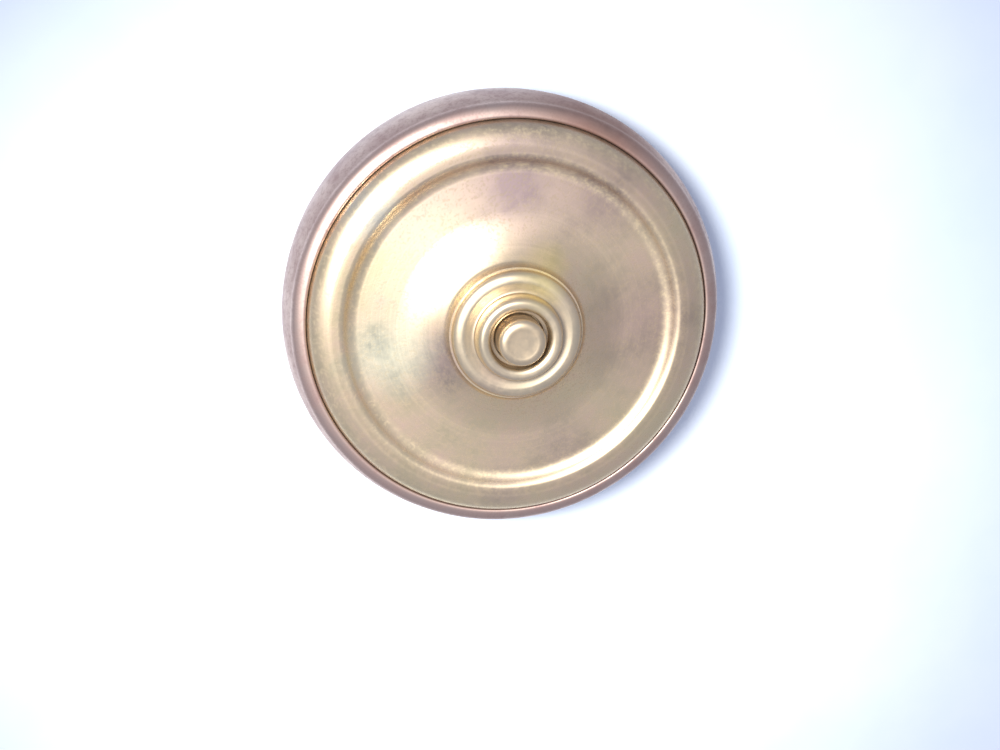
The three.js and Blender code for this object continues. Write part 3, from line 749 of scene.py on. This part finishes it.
screw = {
    "count": 6, "circle": 32.2, "radius": 1.1, "hole": 1.2, "tapped": 1.15, "clear": 1.2, "engagement": 2,
    "head": (2, 1.6),        # radius, height
    "headRound": 0.35, "headEdge": 0.12, "tipEdge": 0.2,
    "slot": (0.6, 0.7),        # width, depth
    "slotTurn": 0.9,        # radians from one slot to the next
}


def makeScrews():
    headRadius, headHeight = screw["head"]
    width, depth = screw["slot"]
    for i in range(screw["count"]):
        node = f"clamp_screw_{i + 1}"
        low, high = corners(node)
        neck, shank = low.z + headHeight, screw["radius"]
        outline = Outline(0, low.z).to(headRadius, low.z, screw["headRound"])
        outline.to(headRadius, neck, screw["headEdge"]).to(shank, neck)
        outline.to(shank, high.z, screw["tipEdge"]).to(0, high.z)
        reach = headRadius + overrun
        slot = block((-reach, -width / 2, low.z - overrun), (reach, width / 2, low.z + depth))
        bm = carve(turn(outline, steps["small"]), [slot])
        bmesh.ops.rotate(bm, verts=bm.verts[:], matrix=Matrix.Rotation(screw["slotTurn"] * i, 3, "Z"))
        middle = (low + high) / 2
        move = Vector((middle.x, middle.y, 0)) * millimetre
        bmesh.ops.translate(bm, verts=bm.verts[:], vec=move)
        fit(f"clampScrew{i + 1}", bm, node)


valve = {
    "outside": 8.3, "outsideEdge": 0.6, "topEdge": 0.3, "bore": 6.6, "chamber": 5.2, "chamberEdge": 0.3,
    "stem": 1.8, "mouthEdge": 0.15, "floor": 2.2, "spigotEnd": 15.4, "stopEdge": 0.1,
    "bead": (5.4, 0.6, 0.4),        # inner radius, width, height
    "flat": (0.9, 4),        # how deep, how tall
    "vents": (6, 4.05, 0.75),        # count, radius of their circle, radius
}


def makeValveBody():
    low, high = corners("valve_body")
    inner, width, rise = valve["bead"]
    bottom = low.z + rise
    chamber = bottom + valve["floor"]
    mouthEdge = valve["mouthEdge"]
    outline = Outline(valve["stem"], bottom, mouthEdge).to(inner, bottom)
    outline.bow((inner + width / 2, low.z - rise), (inner + width, bottom), 10)
    outline.to(valve["outside"], bottom, valve["outsideEdge"]).to(valve["outside"], high.z, valve["topEdge"])
    outline.to(valve["bore"], high.z, mouthEdge).to(valve["bore"], valve["spigotEnd"])
    outline.to(valve["chamber"], valve["spigotEnd"], valve["stopEdge"])
    outline.to(valve["chamber"], chamber, valve["chamberEdge"]).to(valve["stem"], chamber, mouthEdge)
    count, circle, hole = valve["vents"]
    tools = around(count, circle, low.z - overrun, chamber + overrun, hole)
    cutIn, tall = valve["flat"]
    reach = valve["outside"]
    for side in (-1, 1):
        near, far = sorted((side * (reach - cutIn), side * (reach + 2 * overrun)))
        tools.append(block((-reach - overrun, near, low.z - overrun), (reach + overrun, far, bottom + tall)))
    fit("valveBody", carve(turn(outline, steps["core"]), tools), "valve_body")


rings = {        # node: name, inner radius, edge curve, steps round it
    "boss_washer": ("bossWasher", 6.6, 0.12, "core"),
    "spring_seat": ("springSeat", 1.8, 0.1, "small"),
    "valve_seal": ("valveSeal", 1.3, 0.2, "core"),
    "swivel_washer": ("swivelWasher", 1.4, 0.12, "small"),
}


def makeRings():
    for node, (name, inner, curve, detail) in rings.items():
        low, high = corners(node)
        outer = (high.x - low.x) / 2
        bm = ring(inner, outer, low.z, high.z, curve, steps[detail])
        bmesh.ops.translate(bm, verts=bm.verts[:], vec=((low.x + high.x) / 2 * millimetre, 0, 0))
        fit(name, bm, node)


stem = {
    "radius": 1.6, "topEdge": 0.3, "shoulder": 10.55, "shoulderEdge": 0.1, "thread": 1.2, "tipEdge": 0.25,
    "pitch": 0.5, "turns": 6, "groove": 0.16, "grooveOut": 0.06, "grooveSides": 8, "grooveSteps": 32,
}


def makeStem():
    low, high = corners("valve_stem")
    shoulder, thread, pitch = stem["shoulder"], stem["thread"], stem["pitch"]
    outline = Outline(0, low.z).to(thread, low.z, stem["tipEdge"]).to(thread, shoulder)
    outline.to(stem["radius"], shoulder, stem["shoulderEdge"])
    outline.to(stem["radius"], high.z, stem["topEdge"]).to(0, high.z)
    groove = coil(thread + stem["grooveOut"], stem["groove"], pitch, stem["turns"], low.z - pitch / 2,
                  stem["grooveSides"], stem["grooveSteps"])
    fit("valveStem", carve(turn(outline, steps["small"]), [groove]), "valve_stem")


poppet = {
    "inner": 1.3, "cup": 6.7, "cupInset": 0.1, "floor": 1,
    "footEdge": 0.15, "rimEdge": 0.2, "cupEdge": 0.15, "deckEdge": 0.1,
}


def makePoppet():
    low, high = corners("poppet_disc")
    inner, outer, cup = poppet["inner"], high.x, poppet["cup"]
    deck = low.z + poppet["floor"]
    outline = Outline(inner, low.z, poppet["footEdge"]).to(cup - poppet["cupInset"], low.z)
    outline.bow((outer, low.z), (outer, deck), 10)
    outline.to(outer, high.z, poppet["rimEdge"]).to(cup, high.z, poppet["cupEdge"])
    outline.to(cup, deck).to(inner, deck, poppet["deckEdge"])
    fit("poppetDisc", turn(outline, steps["core"]), "poppet_disc")


lock = {"inner": 1.3, "edge": 0.08, "split": 0.6}


def makeLockWasher():
    low, high = corners("lock_washer")
    outer, half = -low.x, lock["split"] / 2        # the split shortens the washer on its +X side
    bm = ring(lock["inner"], outer, low.z, high.z, lock["edge"], steps["small"])
    split = block((0, -half, low.z - overrun), (outer + overrun, half, high.z + overrun))
    fit("lockWasher", carve(bm, [split]), "lock_washer")


nut = {
    "corners": 2.9, "hole": 1.25,
    "chamfer": (0.45, 0.25),        # run, drop
}


def makeNut():
    low, high = corners("stem_nut")
    hexagon = hexagonBar(nut["corners"], low.z, high.z, nut["chamfer"])
    hole = rod(nut["hole"], low.z - overrun, high.z + overrun, steps["hole"])
    fit("stemNut", carve(hexagon, [hole]), "stem_nut")


spring = {"radius": 2.35, "wire": 0.35, "endTurns": 1, "turns": 6, "squash": 0.84, "sides": 12, "steps": 48}


def makeSpring():
    low, high = corners("return_spring")
    start = low.z + spring["wire"]
    tight = spring["wire"] * 2
    ends = spring["endTurns"] * 2
    rise = high.z - low.z - spring["wire"] * 2 - tight * ends
    bm = wireEnd(spring["radius"], spring["wire"], start, spring["sides"])
    end = wind(bm, bm.faces[:], tight, spring["endTurns"], spring["steps"])
    end = wind(bm, end, rise / spring["turns"], spring["turns"], spring["steps"])
    wind(bm, end, tight, spring["endTurns"], spring["steps"])
    bmesh.ops.recalc_face_normals(bm, faces=bm.faces[:])
    piece = fit("returnSpring", bm, "return_spring")
    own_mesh(piece)


strap = {
    "thickness": 1, "width": 5.2, "ring": 9, "hole": 6.6, "overlap": 1.2, "upright": 11.8, "bend": 1.4,
    "swivel": 15.9, "swivelHole": 1.4, "tipRound": 1.9, "tipSteps": 8,
}


def makeStrap():
    low, high = corners("lanyard_strap")
    thick, half = strap["thickness"], strap["width"] / 2
    upright, bend = strap["upright"], strap["bend"]
    inner, start = upright - thick, strap["ring"] - strap["overlap"]
    foot, head = low.z, high.z
    side = Outline(start, head - thick).to(inner, head - thick).to(inner, foot + bend)
    side.bow((inner, foot), (inner + bend, foot), 8)
    side.to(high.x, foot).to(high.x, foot + thick).to(upright, foot + thick).to(upright, head - bend)
    side.bow((upright, head), (upright - bend, head), 8)
    side.to(start, head)
    bm = bmesh.new()
    verts = [bm.verts.new((x * millimetre, -half * millimetre, z * millimetre)) for x, z in side.points]
    face = bm.faces.new(verts)
    swept = bmesh.ops.extrude_face_region(bm, geom=[face])
    moved = [item for item in swept["geom"] if isinstance(item, bmesh.types.BMVert)]
    bmesh.ops.translate(bm, verts=moved, vec=(0, strap["width"] * millimetre, 0))
    bmesh.ops.recalc_face_normals(bm, faces=bm.faces[:])
    tip, slack = high.x * millimetre, weld["carved"]
    tipEdges = [edge for edge in bm.edges if all(abs(vert.co.x - tip) < slack for vert in edge.verts)]
    corner = [edge for edge in tipEdges if abs(edge.verts[0].co.y - edge.verts[1].co.y) < slack]
    bmesh.ops.bevel(bm, geom=corner, offset=strap["tipRound"] * millimetre, offset_type="OFFSET",
                    segments=strap["tipSteps"], profile=0.5, affect="EDGES", material=-1)
    loop = ring(strap["hole"], strap["ring"], head - thick, head, 0, steps["core"])
    spot = (strap["swivel"], 0)
    hole = rod(strap["swivelHole"], foot - overrun, foot + thick + overrun, steps["hole"], spot)
    bm = carve(carve(bm, [loop], "UNION"), [hole])
    fit("lanyardStrap", bm, "lanyard_strap")


swivel = {
    "radius": 1.2, "head": 2.1, "headHeight": 0.8, "collar": 0.8, "collarRound": 0.25, "collarEdge": 0.1,
    "eye": 2.2, "wire": 0.75, "sides": 20, "lap": 0.375,
}


def makeSwivel():
    low, high = corners("swivel_eye")
    centre = (low.x + high.x) / 2
    radius, head = swivel["radius"], swivel["head"]
    eyeMiddle = low.z + swivel["eye"] + swivel["wire"]
    eyeTop = eyeMiddle + swivel["eye"] + swivel["lap"]
    collarTop = eyeTop + swivel["collar"]
    rivet = high.z - swivel["headHeight"]
    outline = Outline(0, eyeTop).to(head, eyeTop, swivel["collarRound"])
    outline.to(head, collarTop, swivel["collarEdge"]).to(radius, collarTop)
    outline.to(radius, rivet).to(head, rivet).bow((head, high.z), (0, high.z), 12)
    eye = bmesh.new()
    place = Matrix.Translation((swivel["eye"] * millimetre, 0, 0)) @ Matrix.Rotation(pi / 2, 4, "X")
    bmesh.ops.create_circle(eye, segments=swivel["sides"], radius=swivel["wire"] * millimetre, matrix=place)
    bmesh.ops.spin(eye, geom=eye.verts[:] + eye.edges[:], cent=(0, 0, 0), axis=(0, 0, 1), angle=2 * pi,
                   steps=steps["small"], use_merge=True)
    bmesh.ops.recalc_face_normals(eye, faces=eye.faces[:])
    bmesh.ops.rotate(eye, verts=eye.verts[:], cent=(0, 0, 0), matrix=Matrix.Rotation(pi / 2, 3, "X"))
    bmesh.ops.translate(eye, verts=eye.verts[:], vec=(0, 0, eyeMiddle * millimetre))
    bm = carve(turn(outline, steps["small"]), [eye], "UNION")
    bmesh.ops.translate(bm, verts=bm.verts[:], vec=(centre * millimetre, 0, 0))
    fit("swivelEye", bm, "swivel_eye")


def layFloor():
    bm = bmesh.new()
    squares, reach = floor["squares"], floor["reach"] * millimetre
    bmesh.ops.create_grid(bm, x_segments=squares, y_segments=squares, size=reach)
    sheet = put("floor", bm)
    sheet.data.materials.append(paleSheet("paleSheet", floor))


placeCamera()
hangLights()
layFloor()
print("stage set")
makeSkirt()
makePlate()
makeBoss()
makeButton()
print("outside pieces made")
makeCollar()
makeGasket()
makeScrews()
print("neck side made")
makeValveBody()
makeRings()
makeStem()
makePoppet()
makeLockWasher()
makeNut()
makeSpring()
print("vent valve made")
makeStrap()
makeSwivel()
print("lanyard fitting made")
